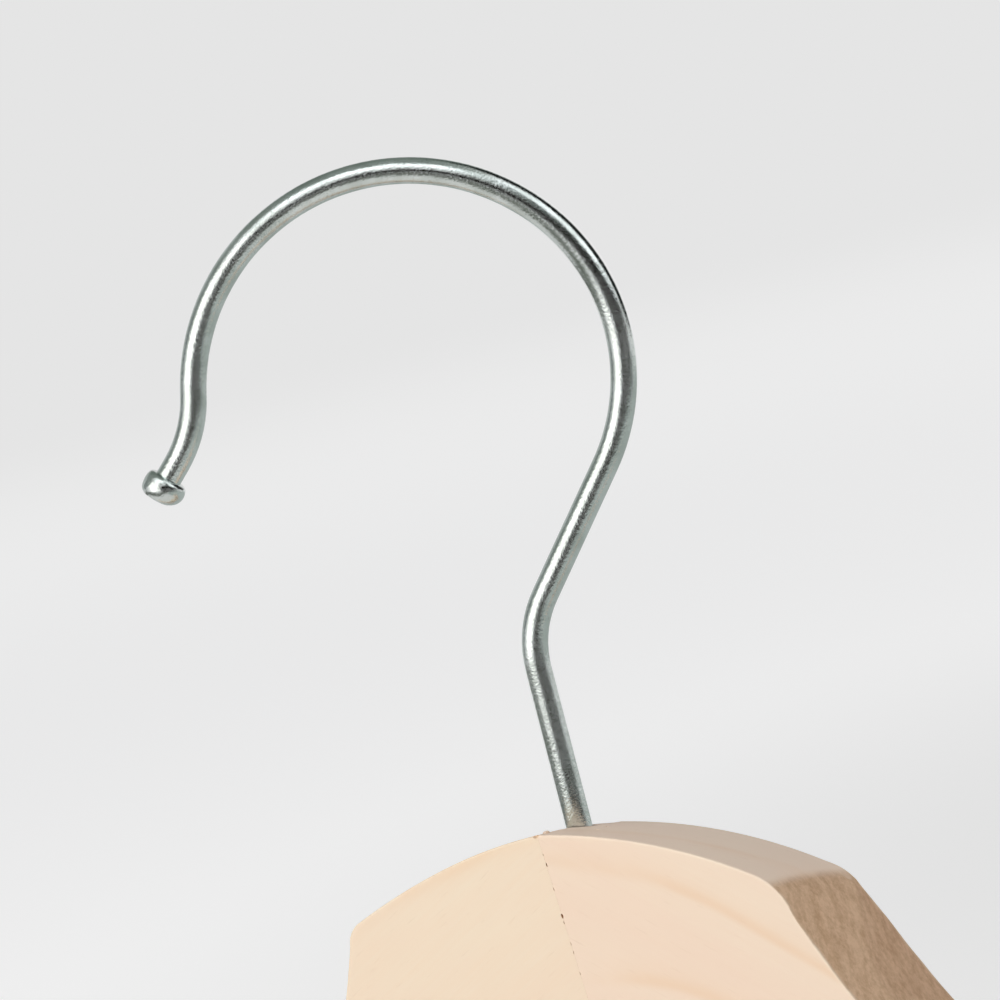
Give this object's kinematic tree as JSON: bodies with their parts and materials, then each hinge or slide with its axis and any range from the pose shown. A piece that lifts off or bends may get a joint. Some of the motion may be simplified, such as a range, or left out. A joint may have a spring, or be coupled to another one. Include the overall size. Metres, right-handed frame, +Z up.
{
  "type": "suit hanger",
  "caption": "Wide-shouldered wooden suit hanger with a flat-fronted head, a swivelling plated wire hook with a ball tip, and a trouser bar in a ribbed non-slip sleeve.",
  "frame": {"origin": "the point of the hook's inner crown that rests on the wardrobe rail", "axes": "+Z up, +X along the shoulders towards the right wing, -Y towards the flat front of the head; the hook's plane is turned 31.3 degrees about Z from XZ, as pictured"},
  "size_m": [0.4304, 0.0482, 0.243],
  "materials": {
    "bare_wood": "sanded, unvarnished",
    "dowel_wood": "turned, unvarnished",
    "bar_wood": "turned, unvarnished",
    "plated_wire": "bright plated, with fine drawing marks",
    "pin_steel": "bright drawn",
    "sleeve_vinyl": "soft, ribbed lengthways"
  },
  "bodies": {
    "hook_body": {"hook": "plated_wire"},
    "wooden_frame": {"left_wing": "bare_wood", "right_wing": "bare_wood", "upper_seam_dowel": "dowel_wood", "lower_seam_dowel": "dowel_wood", "hook_lock_pin": "pin_steel", "trouser_bar": "bar_wood", "bar_sleeve": "sleeve_vinyl", "left_bar_pin": "pin_steel", "right_bar_pin": "pin_steel"}
  },
  "joints": [
    {"name": "hook_swivel", "type": "hinge", "parent": "hook_body", "child": "wooden_frame", "pos_m": [0.006, 0.00365, -0.08625], "axis": [0, 0, 1], "continuous": true}
  ]
}
